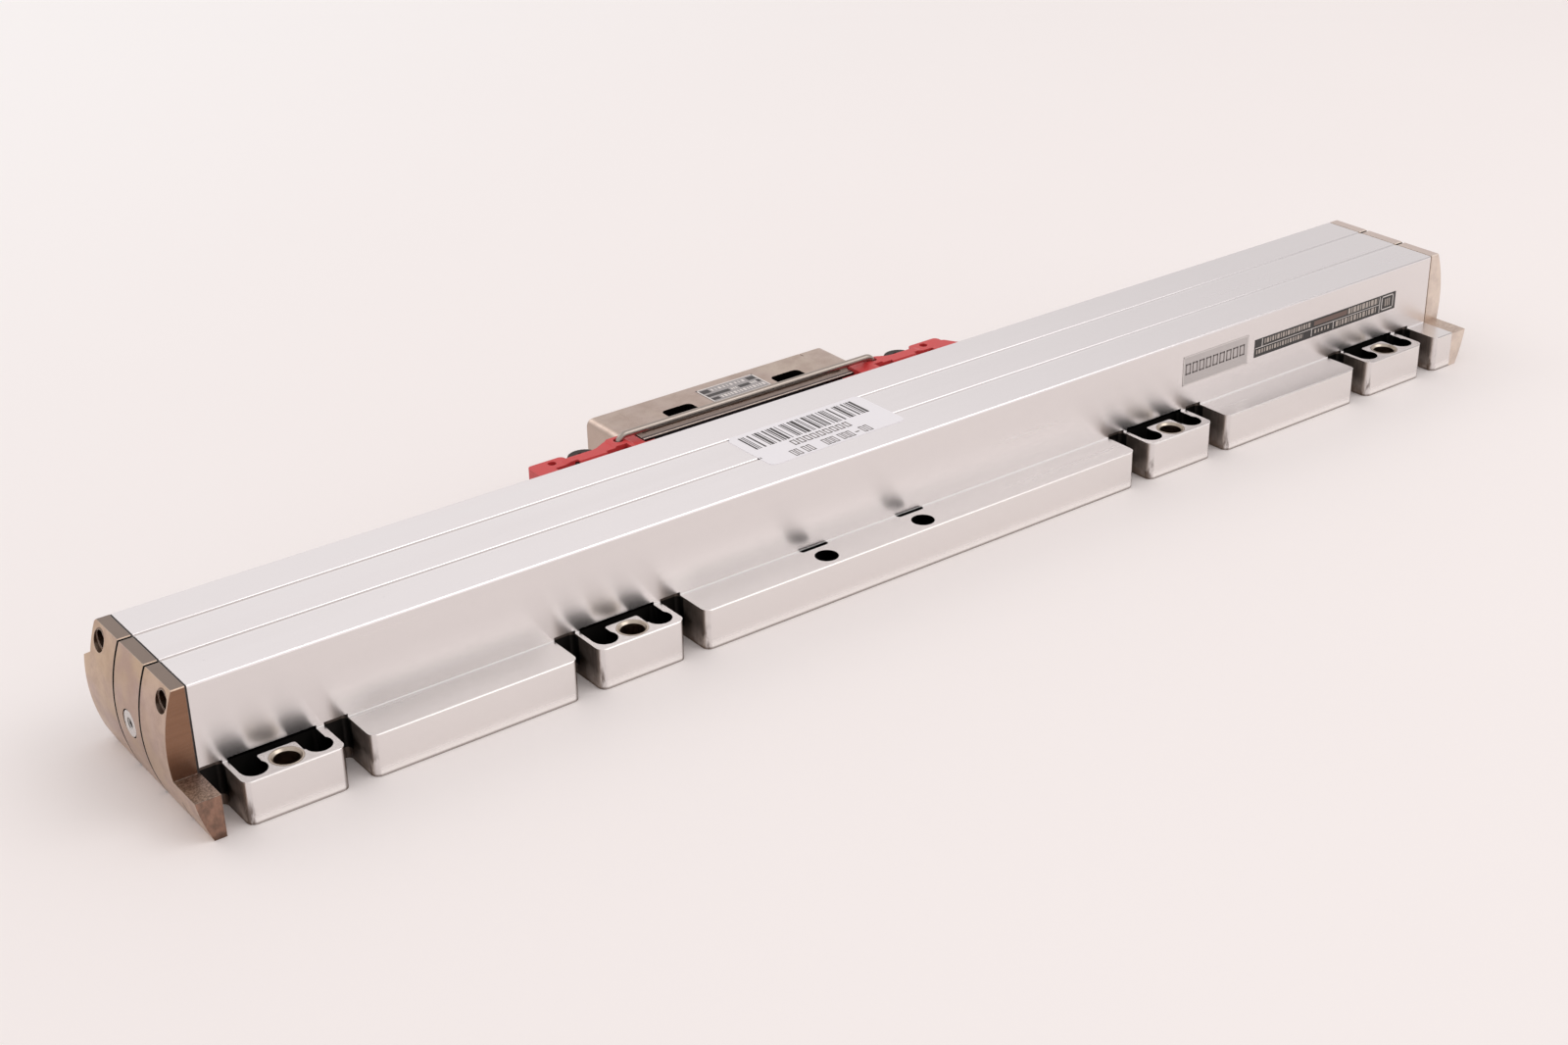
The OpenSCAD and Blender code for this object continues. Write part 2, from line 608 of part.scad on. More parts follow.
module lamp() {
    color([0.2, 0.2, 0.22]) {
        post(-6, 22.5, 30, 32.6, 3.5);
        post(-6, 22.5, 29.6, 30.1, 1.6);
    }
}
module lens() {
    color([0.8, 0.9, 0.95]) intersection() {
        post(-6, 22.5, 27.8, 29.5, 3.5);
        translate([-6, 22.5, 21.6]) sphere(r = 8, $fn = 64);
    }
}
module reticle() { color([0.6, 0.8, 0.85]) box(-12.8, 0.8, 18.6, 27.4, 20.6, 21.6); }
module sensor_board() {
    color([0.1, 0.35, 0.2]) difference() {
        union() {
            box(-12.8, 0.8, 18.6, 27.4, 17.2, 18.6);
            box(-9, -3, 20, 25, 18.6, 19.4);
        }
        for (x = [-11.8, -0.2], y = [19.6, 26.4]) post(x, y, 17, 19, 0.4);
    }
}
module coupling_rod() { color([0.75, 0.75, 0.75]) pin_x(44, 19.5, -23.6, 23.6, 0.79); }
module ribbon_lead() {
    color([0.75, 0.45, 0.2]) {
        box(-3.5, 3.5, 42.4, 58.6, blade_z + blade_t / 2 - 0.33, blade_z + blade_t / 2 - 0.05);
        box(-1.6, 1.6, 58.6, 73.3, blade_z + blade_t / 2 - 0.33, blade_z + blade_t / 2 - 0.05);
    }
}

// ---------- shipping brace ----------

// one brace, drawn for the left side; wx is the distance of its wire hole from
// the middle, and tail adds the tapering tongue at its tip
module brace(wx, tail) {
    difference() {
        union() {
            // tip and body
            rbar(-75.2, -63.4, 52.3, 62.5, 28, 33.5, 1.6);
            box(-66, -39.6, 52.3, 59.7, 28, 33.5);
            box(-49.2, -39.6, 52.3, 62.2, 28, 33.5);
            // raised cover of the thumb wheel, curving back towards the saddle
            translate([0, 59.7, 0]) rotate([90, 0, 0]) linear_extrude(height = 4)
                polygon([[-66, 33.4], [-63.6, 34], [-49, 34], [-48, 33.4]]);
            translate([0, 0, 28]) linear_extrude(height = 6)
                polygon([[-55, 58], [-55, 59.7], [-53.4, 60], [-51.6, 61], [-50.2, 61.8], [-48.8, 62.2], [-48.8, 58]]);
            // raised saddle with ramps at both ends
            translate([0, 62.2, 0]) rotate([90, 0, 0]) linear_extrude(height = 9.9)
                polygon([[-50, 33.4], [-48.6, 34.5], [-44.2, 34.5], [-42.5, 33.4]]);
            // leg behind the shoulder and the boss of the thumb screw
            box(-74.6, -45.6, 56.3, 59.7, 24.4, 28.1);
            box(-63, -52, 56.3, 62.2, 24.4, 29.8);
            // spacer tongue between housing and block
            box(-39.7, -34.6, 52.3, 58.5, 28, 32);
            if (tail) translate([0, 0, 30.5]) linear_extrude(height = 3)
                polygon([[-74, 52.3], [-81, 52.3], [-80.4, 53.4], [-77.9, 55.9], [-76.1, 59.3], [-74, 60.6]]);
        }
        // slot of the thumb wheel
        post(-thumb_dx, thumb_y, 29.8, 33.3, thumb_r + 0.4);
        box(-thumb_dx - 5.2, -thumb_dx + 5.2, thumb_y, 66, 29.8, 33.3);
        post(-thumb_dx, thumb_y, 20, 30, 2.1);
        // wire hole with a wider mouth, plain hole and moulding recesses
        post(-wx, thumb_y, 27.9, 36, wire_r + 0.02);
        post(-wx, thumb_y, 32.6, 36, wire_r + 0.45);
        post(-68.2, 60.2, 29, 34, 1.3);
        box(-69, -61.6, 51, 57, 27, 35);
        box(-52.4, -45.4, 51, 56.6, 27, 35);
    }
}
module brace_left() { color([0.80, 0.22, 0.20]) brace(-wire_x0, false); }
module brace_right() { color([0.80, 0.22, 0.20]) mirror([1, 0, 0]) brace(wire_x1, true); }

module brace_wire() {
    rb = 2.6;
    color([0.72, 0.68, 0.62]) {
        for (s = [-1, 1]) {
            xw = s < 0 ? wire_x0 : wire_x1;
            post(xw, thumb_y, 28, wire_z - rb, wire_r);
            translate([xw - s * rb, thumb_y, wire_z - rb]) rotate([90, 0, 0])
                rotate([0, 0, s > 0 ? 0 : 90]) rotate_extrude(angle = 90, $fn = 48) translate([rb, 0]) circle(r = wire_r, $fn = 24);
        }
        pin_x(thumb_y, wire_z, wire_x0 + rb, wire_x1 - rb, wire_r);
    }
}

// thumb screw: knurled wheel and shank, drawn for the left side
module thumb_screw() {
    color([0.13, 0.12, 0.11]) difference() {
        union() {
            post(-thumb_dx, thumb_y, 30.2, 33, thumb_r - 0.35);
            for (k = [0:31]) translate([-thumb_dx, thumb_y, 30.4]) rotate([0, 0, 11.25 * k])
                translate([thumb_r - 0.35, 0, 0]) cylinder(h = 2.5, r = 0.33, $fn = 12);
            post(-thumb_dx, thumb_y, 19, 30.3, 1.9);
        }
        translate([-thumb_dx - 0.5, thumb_y - 2.5, 32.4]) cube([1, 5, 1]);
    }
}
module thumb_screw_left() { thumb_screw(); }
module thumb_screw_right() { mirror([1, 0, 0]) thumb_screw(); }

// clamp shoe: a nut with a tongue, set towards the block, in the groove of the profile
module clamp_shoe() {
    color([0.55, 0.55, 0.55]) difference() {
        union() {
            rbar(-thumb_dx - 4.5, -thumb_dx + 9.9, 56.4, 62, 19.6, 23.6, 0.8);
            box(-thumb_dx + 4.7, -thumb_dx + 9.6, 54.15, 57.2, 22, 23.2);
        }
        post(-thumb_dx, thumb_y, 18, 25, 2);
    }
}
module clamp_shoe_left() { clamp_shoe(); }
module clamp_shoe_right() { mirror([1, 0, 0]) clamp_shoe(); }

housing_front();
housing_top();
housing_base();
housing_rear();
sprung_feet();
flange_blocks();
foot_bushes();
end_cap_left();
end_cap_right();
end_gasket_left();
end_gasket_right();
cap_screws();
cap_anchors();
air_plugs();
glass_scale();
scale_bond();
lip_upper();
lip_lower();
top_sticker();
rating_plate();
side_sticker();
block();
block_end_left();
block_end_right();
rear_cover();
cover_screws();
blade();
blade_screws();
circuit_board();
board_chips();
cable_socket();
blanking_plug();
block_label();
carriage();
roller_pins();
lamp();
lens();
reticle();
sensor_board();
coupling_rod();
ribbon_lead();
brace_left();
brace_right();
brace_wire();
roller_face_a();
roller_face_b();
roller_face_c();
roller_edge_a();
roller_edge_b();
thumb_screw_left();
thumb_screw_right();
clamp_shoe_left();
clamp_shoe_right();
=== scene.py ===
import math

import bpy
import bmesh
from mathutils import Matrix, Vector


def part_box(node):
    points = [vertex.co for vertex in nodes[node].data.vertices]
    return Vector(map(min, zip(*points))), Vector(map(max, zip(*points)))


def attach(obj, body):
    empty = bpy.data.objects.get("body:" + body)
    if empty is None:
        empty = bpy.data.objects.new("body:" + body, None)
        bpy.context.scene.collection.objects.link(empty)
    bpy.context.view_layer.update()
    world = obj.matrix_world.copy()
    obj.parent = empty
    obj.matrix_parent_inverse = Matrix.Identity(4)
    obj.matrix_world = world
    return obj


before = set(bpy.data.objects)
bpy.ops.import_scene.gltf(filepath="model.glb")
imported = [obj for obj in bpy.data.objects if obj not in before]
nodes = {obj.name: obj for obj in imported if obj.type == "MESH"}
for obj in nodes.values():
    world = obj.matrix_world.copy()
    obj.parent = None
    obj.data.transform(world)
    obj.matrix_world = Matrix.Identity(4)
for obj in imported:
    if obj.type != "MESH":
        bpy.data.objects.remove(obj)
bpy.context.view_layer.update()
scene = bpy.context.scene
MM = 0.001

# ------------------------------------------------------------------ camera
cam_data = bpy.data.cameras.new("camera")
cam = bpy.data.objects.new("camera", cam_data)
scene.collection.objects.link(cam)
right = Vector((0.797090622, -0.603585877, -0.018183227)).normalized()
down = Vector((-0.284615699, -0.348963149, -0.892871001)).normalized()
fwd = Vector((0.53257905, 0.716874333, -0.449945269)).normalized()
rot = Matrix((right, -down, -fwd)).transposed()
cam.matrix_world = Matrix.Translation((-0.369069585, -0.4536104, 0.311652279)) @ rot.to_4x4()
cam_data.sensor_fit = "HORIZONTAL"
cam_data.sensor_width = 36.0
cam_data.lens = 53.398575
cam_data.clip_start = 0.01
cam_data.clip_end = 20.0
scene.camera = cam
scene.view_settings.view_transform = "Standard"
scene.view_settings.look = "None"
scene.view_settings.exposure = 0.0
scene.view_settings.gamma = 1.0

# ------------------------------------------------------------------ lights
world = bpy.data.worlds.new("studio")
scene.world = world
world.use_nodes = True
bg = world.node_tree.nodes["Background"]
bg.inputs["Color"].default_value = (1.0, 0.955, 0.945, 1.0)
bg.inputs["Strength"].default_value = 0.80


def softbox(name, place, target, size, power, colour):
    """A large rectangular soft light at place, facing target."""
    data = bpy.data.lights.new(name, "AREA")
    data.shape = "RECTANGLE"
    data.size, data.size_y = size
    data.energy = power
    data.color = colour
    ob = bpy.data.objects.new(name, data)
    scene.collection.objects.link(ob)
    d = Vector(target) - Vector(place)
    ob.matrix_world = Matrix.Translation(place) @ d.to_track_quat("-Z", "Y").to_matrix().to_4x4()
    return ob


softbox("key_softbox", (0.75, -0.75, 1.25), (0.0, 0.0, 0.0), (1.2, 0.8), 5.0, (1.0, 0.98, 0.97))
softbox("back_softbox", (-0.7, 1.3, 1.3), (0.0, 0.1, 0.0), (1.4, 0.8), 4.0, (1.0, 0.97, 0.96))

# ------------------------------------------------------------------ node graphs


def lin(r, g, b):
    """An 8-bit display colour as linear light."""
    return tuple((c / 255 / 12.92) if c <= 10 else ((c / 255 + 0.055) / 1.055) ** 2.4 for c in (r, g, b))


class Graph:
    """A material under construction: a Principled shader and helpers that add nodes to it."""

    def __init__(self, name, rough=0.4, metal=0.0, spec=0.5):
        self.mat = bpy.data.materials.new(name)
        self.mat.use_nodes = True
        self.tree = self.mat.node_tree
        self.tree.nodes.clear()
        self.out = self.add("ShaderNodeOutputMaterial")
        self.bsdf = self.add("ShaderNodeBsdfPrincipled")
        self.link(self.bsdf.outputs[0], self.out.inputs[0])
        self.bsdf.inputs["Roughness"].default_value = rough
        self.bsdf.inputs["Metallic"].default_value = metal
        self.bsdf.inputs["Specular IOR Level"].default_value = spec
        coord = self.add("ShaderNodeTexCoord")
        scale = self.add("ShaderNodeVectorMath", operation="SCALE")
        scale.inputs["Scale"].default_value = 1000.0
        self.link(coord.outputs["Object"], scale.inputs[0])
        self.mm = scale.outputs[0]
        sep = self.add("ShaderNodeSeparateXYZ")
        self.link(self.mm, sep.inputs[0])
        self.x, self.y, self.z = sep.outputs
        self._n = None

    def add(self, kind, **props):
        node = self.tree.nodes.new(kind)
        for k, v in props.items():
            setattr(node, k, v)
        return node

    def link(self, a, b):
        if hasattr(a, "is_output") or hasattr(a, "links"):
            self.tree.links.new(a, b)
        else:
            b.default_value = a

    def normal(self):
        if self._n is None:
            geo = self.add("ShaderNodeNewGeometry")
            sep = self.add("ShaderNodeSeparateXYZ")
            self.link(geo.outputs["True Normal"], sep.inputs[0])
            self._n = tuple(sep.outputs)
        return self._n

    def math(self, op, a, b=None, c=None, clamp=False):
        node = self.add("ShaderNodeMath", operation=op, use_clamp=clamp)
        for i, v in enumerate((a, b, c)):
            if v is not None:
                self.link(v, node.inputs[i])
        return node.outputs[0]

    def mul(self, *vs):
        out = vs[0]
        for v in vs[1:]:
            out = self.math("MULTIPLY", out, v)
        return out

    def most(self, *vs):
        out = vs[0]
        for v in vs[1:]:
            out = self.math("MAXIMUM", out, v)
        return out

    def step(self, v, lo, hi):
        """0 below lo and 1 above hi, smooth between; lo above hi turns it round."""
        node = self.add("ShaderNodeMapRange", interpolation_type="SMOOTHSTEP")
        node.clamp = True
        self.link(v, node.inputs["Value"])
        if lo < hi:
            node.inputs["From Min"].default_value = lo
            node.inputs["From Max"].default_value = hi
            node.inputs["To Min"].default_value = 0.0
            node.inputs["To Max"].default_value = 1.0
        else:
            node.inputs["From Min"].default_value = hi
            node.inputs["From Max"].default_value = lo
            node.inputs["To Min"].default_value = 1.0
            node.inputs["To Max"].default_value = 0.0
        return node.outputs["Result"]

    def band(self, v, lo, hi, soft=0.05):
        return self.mul(self.step(v, lo - soft, lo + soft), self.step(v, hi + soft, hi - soft))

    def scaled(self, scale, offset=(0, 0, 0)):
        node = self.add("ShaderNodeVectorMath", operation="MULTIPLY_ADD")
        self.link(self.mm, node.inputs[0])
        node.inputs[1].default_value = scale
        node.inputs[2].default_value = offset
        return node.outputs[0]

    def noise(self, scale, detail=3.0, rough=0.55, offset=(0, 0, 0), distort=0.0):
        node = self.add("ShaderNodeTexNoise")
        node.inputs["Scale"].default_value = 1.0
        node.inputs["Detail"].default_value = detail
        node.inputs["Roughness"].default_value = rough
        node.inputs["Distortion"].default_value = distort
        s = (scale, scale, scale) if not isinstance(scale, tuple) else scale
        self.link(self.scaled(s, offset), node.inputs["Vector"])
        return node.outputs["Fac"]

    def ramp(self, v, *stops):
        """v through a line of (position, value) stops."""
        node = self.add("ShaderNodeValToRGB")
        el = node.color_ramp.elements
        while len(el) < len(stops):
            el.new(0.5)
        for e, (p, c) in zip(el, stops):
            e.position = p
            e.color = (c, c, c, 1.0) if not isinstance(c, tuple) else (*c, 1.0)
        self.link(v, node.inputs[0])
        return node.outputs["Color"]

    def mix(self, f, a, b, mode="MIX"):
        node = self.add("ShaderNodeMix", data_type="RGBA", blend_type=mode)
        node.clamp_factor = True
        self.link(f, node.inputs[0])
        for v, s in ((a, node.inputs[6]), (b, node.inputs[7])):
            if isinstance(v, tuple):
                s.default_value = (*v, 1.0) if len(v) == 3 else v
            else:
                self.link(v, s)
        return node.outputs[2]

    def mixf(self, f, a, b):
        node = self.add("ShaderNodeMix", data_type="FLOAT")
        node.clamp_factor = True
        self.link(f, node.inputs[0])
        self.link(a, node.inputs[2])
        self.link(b, node.inputs[3])
        return node.outputs[0]

    def colour(self, c):
        if isinstance(c, tuple):
            self.bsdf.inputs["Base Color"].default_value = (*c, 1.0)
        else:
            self.link(c, self.bsdf.inputs["Base Color"])

    def roughness(self, v):
        self.link(v, self.bsdf.inputs["Roughness"])

    def metallic(self, v):
        self.link(v, self.bsdf.inputs["Metallic"])

    def bump(self, height, strength=0.3, dist=0.00005, edge=0.0):
        """Bump from a height, over edges rounded by edge metres in the shading."""
        node = self.add("ShaderNodeBump")
        node.inputs["Strength"].default_value = strength
        node.inputs["Distance"].default_value = dist
        self.link(height, node.inputs["Height"])
        if edge:
            self.link(self.edges(edge), node.inputs["Normal"])
        self.link(node.outputs[0], self.bsdf.inputs["Normal"])

    def edges(self, radius):
        node = self.add("ShaderNodeBevel", samples=6)
        node.inputs["Radius"].default_value = radius
        self.bevel = node.outputs[0]
        return self.bevel

    def edge_mask(self, radius, lo=0.02, hi=0.25):
        """About 1 on edges and 0 on flats."""
        node = self.add("ShaderNodeBevel", samples=4)
        node.inputs["Radius"].default_value = radius
        geo = self.add("ShaderNodeNewGeometry")
        dot = self.add("ShaderNodeVectorMath", operation="DOT_PRODUCT")
        self.link(node.outputs[0], dot.inputs[0])
        self.link(geo.outputs["True Normal"], dot.inputs[1])
        return self.step(self.math("SUBTRACT", 1.0, dot.outputs["Value"]), lo, hi)


def grain(g, tone, lines=(0.006, 1.6, 1.6), amount=0.022, big=0.012):
    """Extrusion lines along X over a tone, with slow cloudy variation."""
    fine = g.noise(lines, detail=4.0, rough=0.6)
    wide = g.noise((0.004, 0.35, 0.35), detail=2.0, offset=(7, 3, 1))
    cloud = g.noise(0.03, detail=3.0, offset=(1, 5, 9))
    v = g.math("ADD", g.math("MULTIPLY", g.math("SUBTRACT", fine, 0.5), amount * 2),
               g.math("MULTIPLY", g.math("SUBTRACT", wide, 0.5), amount * 1.4))
    v = g.math("ADD", v, g.math("MULTIPLY", g.math("SUBTRACT", cloud, 0.5), big * 2))
    v = g.math("ADD", v, 1.0)
    return g.mix(1.0, tone, g_gray(g, v), "MULTIPLY"), fine, wide


def g_gray(g, v):
    node = g.add("ShaderNodeCombineColor")
    for i in range(3):
        g.link(v, node.inputs[i])
    return node.outputs[0]


# ------------------------------------------------------------------ aluminium
FEET = (-182.5, -82.5, 117.5, 217.5)
PADS = [(x - 13.5, x + 13.5) for x in FEET] + [(-162.5, -102.5), (-62.5, 97.5), (137.5, 197.5), (237.5, 245.7)]


def feet_x(g):
    """Distance along X from the nearest foot hole; the feet stand at 100 mm steps."""
    t = g.math("FRACT", g.math("MULTIPLY", g.math("ADD", g.x, 232.5), 0.01))
    return g.math("MULTIPLY", g.math("SUBTRACT", t, 0.5), 100.0)


def aluminium(name, base, flange=False):
    g = Graph(name, metal=1.0)
    nx, ny, nz = g.normal()
    anz = g.math("ABSOLUTE", nz)
    # painted light: the top face is paler at the left end and darker at the right end
    top_face = g.step(g.z, 35.0, 35.3)
    tone = g.mix(top_face, base, g.mix(g.step(g.x, -100.0, 225.0), TOP_PAINTED_LIGHT[0], TOP_PAINTED_LIGHT[1]))
    if flange:
        # painted light: the front face of the flange gets a paler tone, and a paler one still low down near the floor
        front_face = g.mul(g.step(ny, -0.9, -0.97), g.step(g.y, -5.0, -5.2))
        low_front_painted_light = g.mul(front_face, g.step(g.z, 3.6, 1.0))
        tone = g.mix(front_face, tone, FRONT_PAINTED_LIGHT[0])
        tone = g.mix(low_front_painted_light, tone, FRONT_PAINTED_LIGHT[1])
        # painted light: the top of the flange runs from darker at the left to paler at the right
        tone = g.mix(g.step(nz, 0.9, 0.97), tone, g.mix(g.step(g.x, -160.0, 170.0), LEDGE_PAINTED_LIGHT[0], LEDGE_PAINTED_LIGHT[1]))
    col, fine, wide = grain(g, tone, amount=0.010, big=0.010)
    # small dark specks, handling marks and hairline scratches
    speck = g.noise(0.7, detail=1.0, offset=(3, 8, 2))
    col = g.mix(g.mul(g.ramp(speck, (0.0, 0.0), (0.79, 0.0), (0.82, 1.0), (1.0, 1.0)), 0.16), col, lin(120, 112, 108))
    smear = g.noise((0.006, 0.06, 0.06), detail=3.0, offset=(0, 2, 6))
    col = g.mix(g.mul(g.ramp(smear, (0.0, 0.0), (0.56, 0.0), (0.8, 1.0), (1.0, 1.0)), 0.05), col, lin(170, 160, 152))
    hair = g.noise((0.35, 0.02, 0.02), detail=2.0, distort=2.2, offset=(2, 7, 7))
    col = g.mix(g.mul(g.ramp(hair, (0.0, 0.0), (0.76, 0.0), (0.78, 1.0), (0.80, 0.0), (1.0, 0.0)), 0.10), col, (0.95, 0.93, 0.92))
    # painted highlight along the edges, wider on the flange
    edge = g.edge_mask(0.00016 if flange else 0.0001, 0.03, 0.3)
    col = g.mix(g.mul(edge, 0.7 if flange else 0.3), col, (0.97, 0.95, 0.94))
    rough = g.math("ADD", g.math("MULTIPLY", g.noise((0.008, 0.2, 0.2), offset=(4, 4, 4)), 0.04), 0.24)
    rough = g.math("ADD", rough, g.math("MULTIPLY", fine, 0.012))
    if flange:
        # sawn faces of the slots, and the milled cut-outs, which get painted shade
        upright = g.step(anz, 0.6, 0.4)
        low = g.step(g.z, 12.04, 12.0)
        front = g.mul(g.step(ny, -0.35, -0.75), g.step(g.y, -1.9, -2.1))
        cut = g.mul(low, upright, g.math("SUBTRACT", 1.0, front))
        dx = feet_x(g)
        inner_painted_shade = g.mul(g.most(g.band(dx, -12.6, 12.6, 0.03), g.band(g.x, -22.0, -13.0)), g.step(g.y, -4.3, -4.2))
    else:
        cut = g.mul(g.step(g.z, 13.06, 13.0), g.step(g.y, 6.76, 6.80), g.step(g.y, 8.4, 8.2))
        inner_painted_shade = g.band(feet_x(g), -13.0, 13.0, 0.03)
    # painted shade on the cut faces, darker the deeper they lie and near-black inside the cut-outs around the feet;
    # the streaks and the blotches low down are stains
    blotch = g.noise(0.35, detail=4.0, offset=(11, 1, 5))
    streak = g.noise((0.5, 1.2, 0.08), detail=3.0, offset=(1, 1, 5))
    ahead = g.step(g.math("ADD", g.y, g.math("MULTIPLY", blotch, 4.0)), 6.5, -3.0)
    dark = g.mix(ahead, SLOT_SHADE_AND_STAINS[0], SLOT_SHADE_AND_STAINS[1])
    dark = g.mix(g.mul(g.ramp(streak, (0.0, 0.0), (0.4, 0.0), (0.7, 1.0), (1.0, 1.0)), 0.35), dark, SLOT_SHADE_AND_STAINS[2])
    foot = g.mul(g.step(g.z, 4.2, 0.6), g.ramp(blotch, (0.0, 0.0), (0.38, 0.0), (0.56, 1.0), (1.0, 1.0)))
    dark = g.mix(g.mul(foot, 0.7), dark, SLOT_SHADE_AND_STAINS[3])
    dark = g.mix(inner_painted_shade, dark, (0.004, 0.0035, 0.0035))
    col = g.mix(cut, col, dark)
    if flange:
        # brown smears low on the rounded upright corners, painted shade on the faces turned to +X, and a painted
        # contact shadow along the foot of the upright faces
        corner = g.mul(g.step(nx, -0.15, -0.5), g.step(ny, 0.05, -0.1), g.step(g.y, -2.0, -2.4))
        turned = g.mul(g.step(nx, 0.2, 0.6), g.step(g.y, -1.8, -2.2), upright)
        col = g.mix(g.mul(turned, 0.75), col, lin(104, 90, 80))
        sole_painted_shadow = g.mul(g.step(g.z, 0.9, 0.3), upright)
        col = g.mix(g.mul(sole_painted_shadow, 0.7), col, lin(112, 98, 88))
        smudge = g.noise((0.6, 0.6, 0.16), detail=3.0, offset=(6, 2, 2))
        smudge = g.mul(corner, g.step(g.z, 9.0, 3.0), g.ramp(smudge, (0.0, 0.0), (0.46, 0.0), (0.6, 1.0), (1.0, 1.0)))
        col = g.mix(g.mul(smudge, 0.8), col, lin(96, 80, 70))
    if not flange:
        # painted shade: the front wall is darker towards its foot between the feet
        between = g.most(*[g.band(g.x, a + 3.0, b - 3.0, 5.0) for a, b in PADS[4:6]])
        lower_painted_shade = g.mul(between, g.step(g.z, 22.0, 15.0), g.step(ny, -0.9, -0.97), g.step(g.x, 130.0, -150.0))
        col = g.mix(g.mul(lower_painted_shade, 0.16), col, (0.0, 0.0, 0.0))
        # the grooves in the top get painted shade on their floor; the foot of the front wall follows
        groove = g.most(g.band(g.y, 21.0, 22.64), g.band(g.y, 36.54, 38.18))
        groove_painted_shade = g.mul(groove, g.step(g.z, 35.66, 35.6), g.step(g.z, 35.0, 35.2), g.step(g.x, 200.0, -120.0))
        col = g.mix(g.mul(groove_painted_shade, 0.75), col, lin(212, 203, 200))
        # painted highlight on a narrow band in front of each groove and on the fillet at the foot of the front wall
        painted_light_strip = g.most(g.band(g.y, 20.72, 21.08, 0.04), g.band(g.y, 36.26, 36.62, 0.04))
        painted_light_strip = g.mul(painted_light_strip, g.step(nz, 0.9, 0.97), g.step(g.z, 35.7, 35.75))
        fillet = g.mul(g.band(g.z, 12.0, 12.36, 0.04), g.step(ny, -0.9, -0.97), g.step(g.y, 7.0, 6.9))
        pale = g.most(g.mul(painted_light_strip, g.mixf(g.step(g.x, 250.0, -150.0), 0.25, 0.5)), g.mul(fillet, 0.9))
        col = g.mix(pale, col, (1.0, 0.985, 0.98))
    # painted shade on the broken edges along the front, so they stay a little below full white
    broken = g.mul(g.band(nz, 0.5, 0.88), g.step(ny, -0.4, -0.6), g.most(g.step(g.z, 35.3, 35.4), g.band(g.z, 11.6, 12.05)))
    col = g.mix(g.mul(broken, 0.30), col, (0.10, 0.09, 0.085))
    # near-black painted shade in the pockets below the top of the flange
    pocket = g.mul(g.step(g.z, 11.6, 11.4), g.step(g.y, 5.3, 5.42), g.step(g.y, 8.4, 8.2), g.step(g.z, 3.0, 3.2))
    col = g.mix(pocket, col, (0.02, 0.018, 0.017))
    rough = g.mixf(g.most(cut, pocket), rough, 0.5)
    # the painted light above is also made less metallic, so it shows paler
    dull = low_front_painted_light if flange else pale
    g.metallic(g.math("SUBTRACT", 1.0, g.mul(dull, 0.5 if flange else 0.65)))
    g.colour(col)
    g.roughness(rough)
    g.bsdf.inputs["Anisotropic"].default_value = 0.75
    g.bsdf.inputs["Anisotropic Rotation"].default_value = 0.0
    tangent = g.add("ShaderNodeTangent", direction_type="RADIAL", axis="X")
    g.link(tangent.outputs[0], g.bsdf.inputs["Tangent"])
    height = g.math("ADD", g.math("MULTIPLY", fine, 0.6), g.math("MULTIPLY", wide, 0.4))
    g.bump(height, strength=0.011, dist=0.00002, edge=0.00009)
    return g.mat


def cast(name, tones, rough=0.34, pebble=None, zones=None, edge_tone=None, cloud=0.03):
    """Nickel-plated cast metal: slow colour clouds, fine mottling and brighter edges.

    zones is a function that returns (mask, tone, amount) for parts that differ, many of them painted light and shade."""
    g = Graph(name, metal=1.0)
    a, b, c = tones
    c1 = g.noise(cloud, detail=3.0, offset=(2, 9, 4), distort=0.6)
    c2 = g.noise(0.16, detail=5.0, rough=0.65, offset=(8, 1, 3))
    c3 = g.noise(2.4, detail=2.0, offset=(5, 5, 1))
    col = g.mix(g.ramp(c1, (0.0, 0.0), (0.40, 0.0), (0.60, 1.0), (1.0, 1.0)), a, b)
    col = g.mix(g.mul(g.ramp(c2, (0.0, 0.0), (0.44, 0.0), (0.64, 1.0), (1.0, 1.0)), 0.7), col, c)
    for mask, tone, amount in (zones(g, c1, c2, c3) if zones else ()):
        col = g.mix(g.mul(mask, amount), col, tone)
    edge = g.edge_mask(0.00022)
    col = g.mix(g.mul(edge, 0.45), col, edge_tone or (0.80, 0.74, 0.68))
    col = g.mix(g.mul(g.ramp(c3, (0.0, 0.0), (0.5, 0.0), (0.8, 1.0), (1.0, 1.0)), 0.22), col, tuple(v * 0.55 for v in a))
    r = g.math("ADD", g.math("MULTIPLY", c2, 0.16), rough - 0.08)
    h = g.math("MULTIPLY", c3, 0.5)
    if pebble:
        x0, x1, y0, y1, z0, grit_tone = pebble
        spot = g.mul(g.band(g.x, x0, x1), g.band(g.y, y0, y1), g.step(g.z, z0 - 0.2, z0 - 0.05), g.step(g.z, z0 + 0.4, z0 + 0.2))
        grit = g.noise(1.6, detail=4.0, rough=0.7, offset=(1, 1, 8))
        col = g.mix(g.mul(spot, g.ramp(grit, (0.0, 1.0), (0.42, 0.8), (0.60, 0.2), (1.0, 0.0)), 0.85), col, grit_tone)
        r = g.mixf(spot, r, 0.46)
        h = g.math("ADD", h, g.mul(spot, grit, 6.0))
    g.colour(col)
    g.roughness(r)
    g.bump(h, strength=0.18, dist=0.00008, edge=0.0002)
    return g.mat


